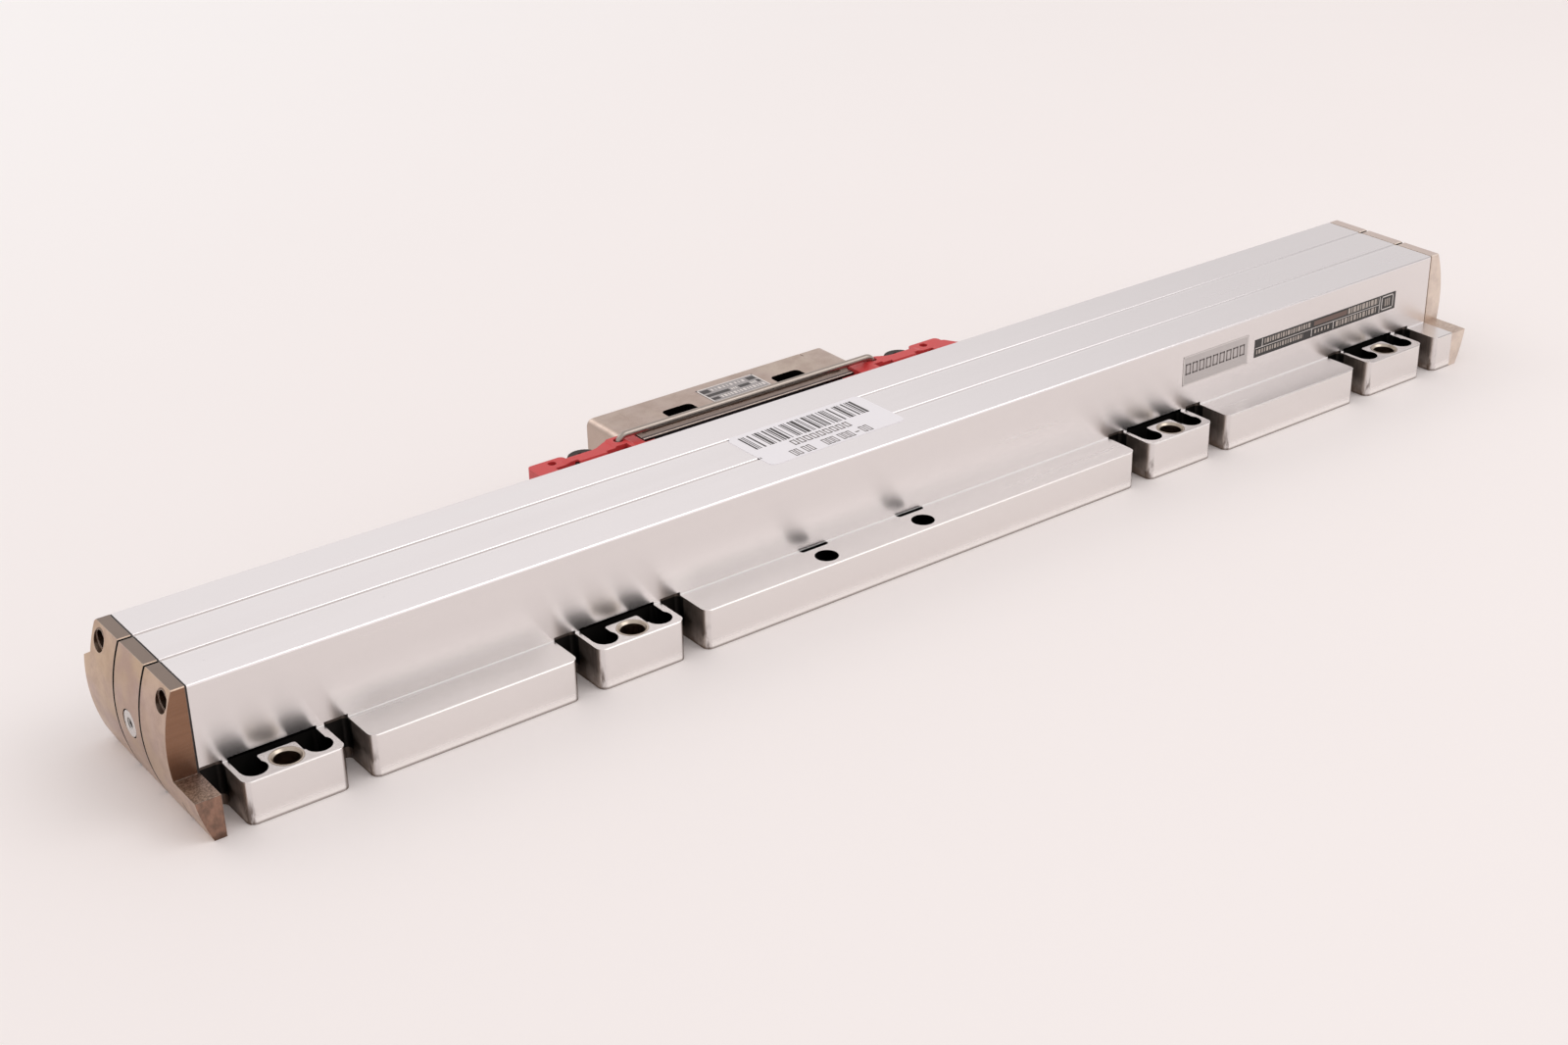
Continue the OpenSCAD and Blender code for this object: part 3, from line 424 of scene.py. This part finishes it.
def simple(name, tone, rough=0.5, metal=0.0, vary=0.12, scale=0.6, bump=0.08, edge=0.0, highlight_tone=None, spec=0.5, alpha=None, coat=0.0):
    """A plainer finish: two close tones in a cloud, roughness that follows it, and a fine bump."""
    g = Graph(name, metal=metal, spec=spec)
    n = g.noise(scale, detail=4.0, rough=0.6)
    f = g.noise(scale * 7.0, detail=2.0, offset=(3, 1, 4))
    lo = tuple(v * (1.0 - vary) for v in tone)
    hi = tuple(min(1.0, v * (1.0 + vary)) for v in tone)
    col = g.mix(n, lo, hi)
    col = g.mix(g.mul(f, vary), col, tuple(v * 0.75 for v in tone))
    # painted highlight along the edges
    if highlight_tone:
        col = g.mix(g.mul(g.edge_mask(0.00025), 0.5), col, highlight_tone)
    g.colour(col)
    g.roughness(g.math("ADD", g.math("MULTIPLY", n, 0.14), rough - 0.07))
    if coat:
        g.bsdf.inputs["Coat Weight"].default_value = coat
        g.bsdf.inputs["Coat Roughness"].default_value = 0.2
    if alpha is not None:
        g.bsdf.inputs["Transmission Weight"].default_value = alpha
        g.bsdf.inputs["IOR"].default_value = 1.5
    g.bump(f, strength=bump, dist=0.00005, edge=edge)
    return g.mat


def knurled_wheel():
    """Black moulded wheel: a ring of painted shade between the ribs and a ring of painted highlight on the rib tips.
    """
    g = Graph("wheel_black_plastic", spec=0.2)
    n = g.noise(0.8, detail=4.0)
    f = g.noise(5.0, detail=2.0, offset=(3, 1, 4))
    col = g.mix(n, lin(40, 33, 31), lin(58, 49, 45))
    dx = g.math("SUBTRACT", g.math("ABSOLUTE", g.x), 57.9)
    dy = g.math("SUBTRACT", g.y, 59.6)
    d = g.math("SQRT", g.math("ADD", g.mul(dx, dx), g.mul(dy, dy)))
    # painted shade in a ring between the ribs, then a painted highlight on the rib tips
    rim = g.step(d, THUMB_R - 0.52, THUMB_R - 0.42)
    col = g.mix(g.mul(rim, 0.85), col, lin(26, 21, 20))
    col = g.mix(g.mul(g.step(d, THUMB_R - 0.26, THUMB_R - 0.10), 0.9), col, lin(142, 124, 114))
    g.colour(col)
    g.roughness(g.math("ADD", g.math("MULTIPLY", n, 0.14), 0.4))
    g.bump(f, strength=0.08, dist=0.00005, edge=0.0001)
    return g.mat


def bush_metal():
    """Turned steel: bright chamfer, brown bore, and a thin dark joint round it."""
    g = Graph("turned_steel", metal=1.0)
    turn = g.noise((0.3, 0.3, 6.0), detail=3.0)
    dx = feet_x(g)
    d = g.math("SQRT", g.math("ADD", g.mul(dx, dx), g.mul(g.y, g.y)))
    col = g.mix(turn, lin(172, 160, 146), lin(206, 196, 182))
    col = g.mix(g.step(g.z, 11.5, 11.3), col, g.mix(turn, lin(120, 100, 88), lin(168, 146, 130)))
    col = g.mix(g.mul(g.band(d, 4.25, 4.6, 0.03), 0.75), col, lin(110, 98, 88))
    col = g.mix(g.mul(g.edge_mask(0.00012), 0.5), col, (0.92, 0.90, 0.86))
    g.colour(col)
    g.roughness(g.math("ADD", g.math("MULTIPLY", turn, 0.15), 0.22))
    g.bump(turn, strength=0.1, dist=0.00002, edge=0.0001)
    return g.mat


ALU = (0.80, 0.765, 0.755)
THUMB_R = 4.8
# painted light: tones for the top face, paler at the left end and darker at the right end
TOP_PAINTED_LIGHT = ((1.0, 0.972, 0.983), (0.825, 0.80, 0.81))
# painted light: tones for the front face of the flange, the second one low down
FRONT_PAINTED_LIGHT = ((0.845, 0.81, 0.795), (0.96, 0.925, 0.905))
# painted light: tones for the top of the flange, darker at the left and paler at the right
LEDGE_PAINTED_LIGHT = ((0.63, 0.61, 0.605), (0.865, 0.835, 0.835))
# painted shade for the cut faces, darker deep in and paler at the front, then tones for streaks and for stains low
# down
SLOT_SHADE_AND_STAINS = (lin(104, 94, 88), lin(208, 197, 190), lin(122, 110, 102), lin(128, 110, 98))
alu_body = aluminium("extruded_aluminium", ALU)
alu_flange = aluminium("milled_aluminium", ALU, flange=True)


def cap_lines(g, x_face):
    """Inside of the two grooves and the short slit of a cap, which the zones fill with painted shade."""
    y = g.most(g.band(g.y, 21.30, 22.34, 0.02), g.band(g.y, 36.84, 37.88, 0.02), g.mul(g.band(g.y, 6.2, 6.9, 0.02), g.step(g.z, 5.7, 5.6)))
    nx, ny, nz = g.normal()
    return y, nx, ny, nz


def left_zones(g, c1, c2, c3):
    y, nx, ny, nz = cap_lines(g, -1)
    side = g.mul(g.step(ny, -0.75, -0.9), g.step(g.z, 11.5, 12.0))
    foot = g.mul(g.step(ny, -0.75, -0.9), g.step(g.z, 12.0, 11.5))
    top = g.mul(g.step(nz, 0.85, 0.95), g.step(g.z, 34.5, 35.0))
    brush = g.noise((0.05, 0.4, 1.4), detail=3.0, offset=(3, 3, 3))
    mottle = g.noise((0.5, 0.5, 0.3), detail=5.0, rough=0.65, offset=(3, 8, 3))
    # inside of the two inlets, given painted shade
    inlet = None
    for y0 in (10.35, 47.4):
        dy = g.math("SUBTRACT", g.y, y0)
        dz = g.math("SUBTRACT", g.z, 31.9)
        d = g.math("SQRT", g.math("ADD", g.mul(dy, dy), g.mul(dz, dz)))
        m = g.step(d, 3.1, 3.02)
        inlet = m if inlet is None else g.most(inlet, m)
    tawny = g.mul(g.step(nx, -0.4, -0.7), g.ramp(g.noise(0.055, detail=2.0, offset=(4, 0, 9)), (0.0, 0.0), (0.46, 0.0), (0.62, 1.0), (1.0, 1.0)))
    pink = g.mul(g.step(nx, -0.4, -0.7), g.ramp(g.noise(0.07, detail=2.0, offset=(9, 5, 2)), (0.0, 0.0), (0.5, 0.0), (0.64, 1.0), (1.0, 1.0)))
    # painted light: the front face, the foot and the top each get a tone of their own, with painted shade low on the
    # front face, a painted contact shadow at the bottom of the foot, a darker outer end of the foot, painted shade in
    # the inlets and near-black painted shade in the grooves and the slit; the tawny and pink clouds, the brush marks
    # and the mottling are the cap's own colour
    return ((tawny, lin(190, 164, 132), 0.55), (pink, lin(168, 142, 138), 0.5),
            (side, LEFT_SIDE_PAINTED_LIGHT, 1.0), (g.mul(side, brush), lin(112, 84, 66), 0.5), (g.mul(side, g.step(g.z, 21.0, 12.0)), lin(92, 74, 64), 0.6),
            (foot, LEFT_FOOT_PAINTED_LIGHT, 1.0), (g.mul(foot, g.ramp(mottle, (0.0, 1.0), (0.40, 1.0), (0.56, 0.0), (1.0, 0.0))), lin(112, 94, 84), 0.7),
            (g.mul(foot, g.ramp(mottle, (0.0, 0.0), (0.55, 0.0), (0.7, 1.0), (1.0, 1.0))), lin(178, 142, 122), 0.5),
            (g.mul(foot, g.step(g.z, 2.0, 0.6)), lin(84, 66, 56), 0.6), (g.mul(foot, g.step(g.x, -202.6, -201.6)), lin(92, 74, 64), 0.5),
            (top, LEFT_TOP_PAINTED_LIGHT, 1.0), (g.mul(top, c2), lin(128, 112, 104), 0.5),
            (inlet, lin(92, 74, 62), 0.75),
            (y, (0.02, 0.014, 0.011), 0.97))


def right_zones(g, c1, c2, c3):
    y, nx, ny, nz = cap_lines(g, 1)
    top = g.mul(g.step(nz, 0.85, 0.95), g.step(g.z, 34.5, 35.0))
    # painted light: a paler top face, painted shade low on the front face just above the foot, and near-black painted
    # shade in the grooves and the slit
    return ((top, lin(216, 200, 192), 0.85), (g.mul(g.step(g.z, 15.0, 11.8), g.step(ny, -0.75, -0.9), g.step(g.z, 11.6, 11.8)), lin(170, 150, 134), 0.5),
            (y, (0.05, 0.04, 0.034), 0.9))


# painted light: tones for the left cap's front face, its foot and its top face, one per face
LEFT_SIDE_PAINTED_LIGHT = lin(150, 114, 92)
LEFT_FOOT_PAINTED_LIGHT = lin(152, 120, 104)
LEFT_TOP_PAINTED_LIGHT = lin(150, 136, 126)
cap_left_m = cast("cap_left_metal", (lin(190, 166, 152), lin(204, 180, 158), lin(172, 146, 132)), zones=left_zones,
                  pebble=(-210, -196, -5.4, 6.9, 11.7, lin(88, 74, 68)))
cap_right_m = cast("cap_right_metal", (lin(222, 210, 202), lin(230, 216, 203), lin(208, 194, 184)), zones=right_zones,
                   pebble=(245, 254, -5.4, 6.9, 11.7, lin(186, 164, 150)), edge_tone=(0.86, 0.80, 0.74))


def block_zones(g, c1, c2, c3):
    """Painted shade in the pockets in the top, on the ledge and on the front of the ledge that stands in the gap to
    the profile, and a painted tone on the faces turned to the left.
    """
    nx, ny, nz = g.normal()
    hole = None
    for x in (-19.1, 20.9):
        m = g.band(g.x, x - 5.4, x + 5.4, 0.02)
        hole = m if hole is None else g.most(hole, m)
    hole = g.mul(hole, g.band(g.y, 63.75, 70.45, 0.02), g.step(g.z, 33.42, 33.2))
    gap = g.mul(g.step(g.y, 59.2, 59.0), g.step(ny, -0.5, -0.8))
    left = g.step(nx, -0.75, -0.9)
    painted_light_strip = g.mul(g.step(g.y, 63.2, 62.9), g.step(g.z, 33.0, 32.9), g.step(nz, 0.8, 0.9))
    lip = g.mul(g.step(g.y, 60.3, 59.9), g.step(nz, 0.8, 0.9), g.step(g.z, 33.0, 32.9))
    # painted light: a darker tone on the faces turned to the left, painted shade on the ledge, darker at its front
    # and low down, on the front of the ledge in the gap, and near-black in the pockets
    return ((left, lin(186, 168, 156), 0.8), (painted_light_strip, lin(132, 116, 108), 0.8), (lip, lin(66, 56, 60), 0.85), (g.mul(painted_light_strip, g.step(g.z, 32.4, 32.2)), lin(84, 66, 58), 0.9),
            (gap, lin(44, 38, 46), 0.97), (hole, lin(34, 28, 27), 0.97))


block_m = cast("block_metal", (lin(200, 182, 172), lin(208, 192, 178), lin(186, 166, 154)), rough=0.36, zones=block_zones, cloud=0.045)

mats = {
    "bush": bush_metal(),
    "gasket": simple("gasket_rubber", lin(52, 46, 44), rough=0.6),
    "gasket_tan": simple("gasket_tan_rubber", lin(150, 126, 104), rough=0.6),
    "screw": simple("zinc_steel", lin(214, 212, 210), rough=0.28, metal=1.0, scale=0.9, edge=0.0002),
    "anchor": simple("anchor_aluminium", lin(190, 188, 186), rough=0.4, metal=1.0),
    "plug": simple("plug_plastic", lin(48, 46, 45), rough=0.5),
    "scale_glass": simple("scale_glass", (0.70, 0.86, 0.84), rough=0.12, alpha=0.7, bump=0.02),
    "bond": simple("bond_adhesive", lin(226, 222, 206), rough=0.6),
    "lip": simple("lip_rubber", lin(38, 36, 36), rough=0.55),
    "blade": simple("blade_steel", lin(186, 184, 182), rough=0.3, metal=1.0, scale=0.4, edge=0.00015),
    "black_screw": simple("black_oxide_steel", lin(62, 60, 60), rough=0.4, metal=1.0),
    "board": simple("board_green", lin(26, 92, 56), rough=0.4, scale=0.9),
    "chips": simple("chip_black", lin(38, 38, 40), rough=0.5),
    "brass": simple("gold_plated", lin(206, 178, 110), rough=0.3, metal=1.0),
    "carriage": simple("dark_anodised", lin(70, 72, 78), rough=0.42, metal=0.8, edge=0.0002),
    "pins": simple("ground_steel", lin(214, 214, 214), rough=0.18, metal=1.0),
    "roller": simple("bearing_steel", lin(206, 206, 208), rough=0.2, metal=1.0),
    "lamp": simple("lamp_plastic", lin(50, 50, 54), rough=0.45),
    "lens": simple("lens_glass", (0.9, 0.96, 0.98), rough=0.05, alpha=0.9, bump=0.01),
    "rod": simple("spring_steel", lin(196, 194, 192), rough=0.25, metal=1.0),
    "ribbon": simple("polyimide_film", lin(200, 130, 60), rough=0.3, scale=0.4),
    "shoe": simple("milled_shoe", lin(160, 156, 150), rough=0.4, metal=1.0),
    "wire": simple("stainless_wire", lin(172, 162, 154), rough=0.34, metal=1.0, scale=0.3, vary=0.08),
    "brace": simple("brace_red_plastic", lin(204, 62, 63), rough=0.40, scale=0.25, vary=0.09, edge=0.00035, highlight_tone=lin(240, 132, 128), bump=0.12),
    "wheel": knurled_wheel(),
    "label_white": simple("white_film", lin(236, 234, 238), rough=0.38, vary=0.015, scale=0.15, bump=0.03),
    "label_black": simple("black_film", lin(48, 45, 44), rough=0.35, vary=0.10, scale=0.5, bump=0.03),
    "label_block": simple("block_film", lin(156, 151, 151), rough=0.38, vary=0.04, scale=0.3, bump=0.03),
    "label_grey": simple("grey_film", lin(192, 186, 184), rough=0.38, vary=0.04, scale=0.3, bump=0.03),
    "ink": simple("printed_ink", lin(62, 58, 58), rough=0.5, vary=0.10, scale=1.5, bump=0.02),
    "faint_ink": simple("printed_faint_ink", lin(118, 110, 108), rough=0.5, vary=0.10, scale=1.5, bump=0.02),
    "dull_ink": simple("printed_dull_ink", lin(176, 166, 158), rough=0.5, vary=0.10, scale=1.5, bump=0.02),
    "brown_ink": simple("printed_brown_ink", lin(112, 92, 84), rough=0.5, vary=0.12, scale=1.5, bump=0.02),
    "pale_ink": simple("printed_pale_ink", lin(222, 216, 212), rough=0.5, vary=0.06, scale=1.5, bump=0.02),
}

use = {
    "housing_front": alu_body, "housing_top": alu_body, "housing_base": alu_body, "housing_rear": alu_body, "housing": alu_body,
    "sprung_feet": alu_flange, "flange_blocks": alu_flange, "foot_bushes": "bush",
    "end_cap_left": cap_left_m, "end_cap_right": cap_right_m, "end_gasket_left": "gasket", "end_gasket_right": "gasket_tan",
    "cap_screws": "screw", "cap_anchors": "anchor", "air_plugs": "plug", "glass_scale": "scale_glass", "scale_bond": "bond",
    "lip_upper": "lip", "lip_lower": "lip", "top_sticker": "label_white", "rating_plate": "label_black", "side_sticker": "label_grey",
    "block": block_m, "block_end_left": block_m, "block_end_right": block_m, "rear_cover": block_m, "cover_screws": "screw",
    "blade": "blade", "blade_screws": "black_screw", "circuit_board": "board", "board_chips": "chips", "cable_socket": "brass",
    "blanking_plug": "plug", "block_label": "label_block", "carriage": "carriage", "roller_pins": "pins", "lamp": "lamp", "lens": "lens",
    "reticle": "lens", "sensor_board": "board", "coupling_rod": "rod", "ribbon_lead": "ribbon", "brace_left": "brace",
    "brace_right": "brace", "brace_wire": "wire", "roller_face_a": "roller", "roller_face_b": "roller", "roller_face_c": "roller",
    "roller_edge_a": "roller", "roller_edge_b": "roller", "thumb_screw_left": "wheel", "thumb_screw_right": "wheel",
    "clamp_shoe_left": "shoe", "clamp_shoe_right": "shoe",
}
for name, ob in nodes.items():
    m = use[name]
    m = mats[m] if isinstance(m, str) else m
    if not ob.material_slots:
        ob.data.materials.append(m)
    for s in ob.material_slots:
        s.material = m

# ------------------------------------------------------------------ printed marks


def plates(name, rects, place, material, body, thick=0.02):
    """Thin printed marks: rects are (x0, y0, x1, y1) in mm on a plane that place puts in the frame."""
    bm = bmesh.new()
    for x0, y0, x1, y1 in rects:
        vs = []
        for z in (0.0, thick):
            for x, y in ((x0, y0), (x1, y0), (x1, y1), (x0, y1)):
                vs.append(bm.verts.new(place @ Vector((x * MM, y * MM, z * MM))))
        for f in ((3, 2, 1, 0), (4, 5, 6, 7), (0, 1, 5, 4), (1, 2, 6, 5), (2, 3, 7, 6), (3, 0, 4, 7)):
            bm.faces.new([vs[i] for i in f])
    bmesh.ops.recalc_face_normals(bm, faces=bm.faces)
    me = bpy.data.meshes.new(name)
    bm.to_mesh(me)
    bm.free()
    me.materials.append(material)
    ob = bpy.data.objects.new(name, me)
    scene.collection.objects.link(ob)
    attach(ob, body)
    return ob


def hollow(x, y, w, h, t):
    """The four sides of a small empty box."""
    return [(x, y, x + w, y + t), (x, y + h - t, x + w, y + h), (x, y, x + t, y + h), (x + w - t, y, x + w, y + h)]


def dashes(x0, x1, y0, y1, widths, gap):
    """A row of plain upright strokes between x0 and x1."""
    out, x, k = [], x0, 0
    while x < x1:
        w = widths[k % len(widths)]
        out.append((x, y0, min(x + w, x1), y1))
        x += w + gap
        k += 1
    return out


# white sticker: a field of bars and two rows of small empty boxes
lo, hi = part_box("top_sticker")
mid = (lo + hi) / 2
top = Matrix.Translation((mid.x, mid.y, hi.z)) @ Matrix.Rotation(math.radians(0.8), 4, "Z")
bars, x, k = [], -21.3, 0
pattern = (2, 1, 1, 1, 1, 3, 2, 4, 1, 1, 3, 1, 1, 3, 2, 2, 1, 1, 2, 1, 3, 2, 1, 4, 1, 1, 2, 1, 1, 3, 2, 1, 4, 2, 1, 1, 1, 3, 3, 1, 1, 2, 2, 1, 1, 1, 2, 3, 1, 2)
while x < 20.2:
    w = 0.33 * pattern[k % len(pattern)]
    if k % 2 == 0:
        bars.append((x, 0.0, min(x + w * 0.92, 20.2), 9.2))
    x += w
    k += 1
plates("sticker_bars", bars, top, mats["ink"], "frame")
marks = []
for k in range(9):
    marks += hollow(-11.0 + 2.37 * k, -4.6, 1.75, 3.3, 0.42)
for x in (-15.2, -13.6, -11.0, -9.2, -3.8, -2.2, -0.6, 2.0, 3.6, 5.2, 9.8, 11.6):
    marks += hollow(x, -10.4, 1.25, 3.9, 0.34)
marks.append((7.4, -9.0, 8.8, -8.4))
plates("sticker_marks", marks, top, mats["faint_ink"], "frame")
plates("sticker_corner_dot", [(-24.0, -5.6, -23.7, -4.7), (-24.0, 9.6, -23.7, 10.4)], top, mats["ink"], "frame")

# rating plate: pale rules, a frame at its right end and rows of plain strokes
lo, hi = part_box("rating_plate")
wall = Matrix(((1, 0, 0, 0), (0, 0, -1, lo.y), (0, 1, 0, 0), (0, 0, 0, 1)))
pale = [(161.4, 24.55, 221.0, 24.75), (164.4, 24.75, 164.7, 27.4), (187.9, 22.0, 188.2, 24.6), (198.4, 22.0, 198.7, 24.6), (221.2, 21.8, 221.5, 27.4)]
pale += hollow(222.3, 22.3, 5.9, 4.8, 0.35)
strokes = dashes(165.6, 187.2, 25.5, 27.1, (0.5, 1.1, 0.5, 0.8), 0.5) + dashes(205.6, 220.4, 25.3, 27.2, (1.1, 0.6, 1.3), 0.45)
strokes += dashes(162.0, 184.0, 22.6, 24.0, (0.5, 0.9, 0.6), 0.55) + dashes(189.5, 197.0, 22.7, 23.9, (0.8, 0.5), 0.9)
strokes += dashes(199.8, 220.2, 22.4, 24.2, (1.2, 0.5, 0.9), 0.6) + dashes(224.0, 226.6, 23.4, 26.0, (0.5,), 0.5)
plates("plate_rules", pale, wall, mats["pale_ink"], "frame", thick=0.01)
plates("plate_strokes", strokes, wall, mats["dull_ink"], "frame", thick=0.01)
plates("plate_tint", [(189.0, 25.4, 205.0, 27.0)], wall, mats["brown_ink"], "frame", thick=0.01)

# grey sticker: nine empty boxes and a faint border
lo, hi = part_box("side_sticker")
wall = Matrix(((1, 0, 0, 0), (0, 0, -1, lo.y), (0, 1, 0, 0), (0, 0, 0, 1)))
marks = []
for k in range(9):
    marks += hollow(129.8 + 3.03 * k, 24.0, 2.3, 3.7, 0.5)
plates("grey_sticker_marks", marks, wall, mats["faint_ink"], "frame", thick=0.01)
plates("grey_sticker_border", hollow(lo.x / MM + 0.1, lo.z / MM + 0.1, (hi.x - lo.x) / MM - 0.2, (hi.z - lo.z) / MM - 0.2, 0.25), wall, mats["pale_ink"], "frame", thick=0.006)

# block label: pale border, dark fields and rows of plain strokes
lo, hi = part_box("block_label")
flat = Matrix.Translation((0, 0, hi.z))
plates("label_border", hollow(-7.85, 65.35, 20.9, 10.4, 0.45), flat, mats["pale_ink"], "scanning_unit", thick=0.01)
plates("label_fields", [(-7.3, 72.3, -4.3, 74.7), (9.5, 72.3, 12.3, 74.6), (-7.3, 69.6, 1.0, 71.3), (4.4, 69.6, 8.4, 71.3), (11.2, 69.7, 12.4, 71.4), (-7.3, 66.8, -4.6, 68.5)],
       flat, mats["ink"], "scanning_unit", thick=0.01)
strokes = dashes(-3.6, 8.8, 72.8, 74.2, (0.5, 0.3, 0.8), 0.9) + dashes(1.6, 4.0, 69.9, 71.1, (0.4,), 0.4) + dashes(8.8, 10.8, 69.9, 71.1, (0.4,), 0.4)
strokes += dashes(-3.8, 12.3, 67.0, 68.6, (0.5, 0.8, 0.4), 0.6)
plates("label_strokes", strokes, flat, mats["pale_ink"], "scanning_unit", thick=0.01)

for name, ob in nodes.items():
    ob.data.update()

# ------------------------------------------------------------------ floor
bm = bmesh.new()
bmesh.ops.create_grid(bm, x_segments=8, y_segments=8, size=3.0)
me = bpy.data.meshes.new("floor")
bm.to_mesh(me)
bm.free()
floor = bpy.data.objects.new("floor", me)
scene.collection.objects.link(floor)
floor.location = (0.2, 0.4, -0.00005)
g = Graph("floor_board", rough=0.55, spec=0.25)
cloud = g.noise(0.004, detail=3.0)
fine = g.noise(0.9, detail=2.0)
col = g.mix(cloud, (0.915, 0.872, 0.862), (0.935, 0.896, 0.886))
# painted light: paler towards the back of the table
far = g.math("ADD", g.math("MULTIPLY", g.y, 0.8), g.math("MULTIPLY", g.x, -0.25))
col = g.mix(g.step(far, -250.0, 450.0), col, (0.98, 0.970, 0.968))
hair = g.noise((0.05, 1.4, 1.0), detail=3.0, distort=3.0, offset=(5, 2, 0))
col = g.mix(g.mul(g.ramp(hair, (0.0, 0.0), (0.74, 0.0), (0.78, 1.0), (1.0, 1.0)), 0.10), col, (0.70, 0.64, 0.62))
g.colour(col)
g.roughness(g.math("ADD", g.math("MULTIPLY", fine, 0.1), 0.5))
g.bump(fine, strength=0.05)
floor.data.materials.append(g.mat)
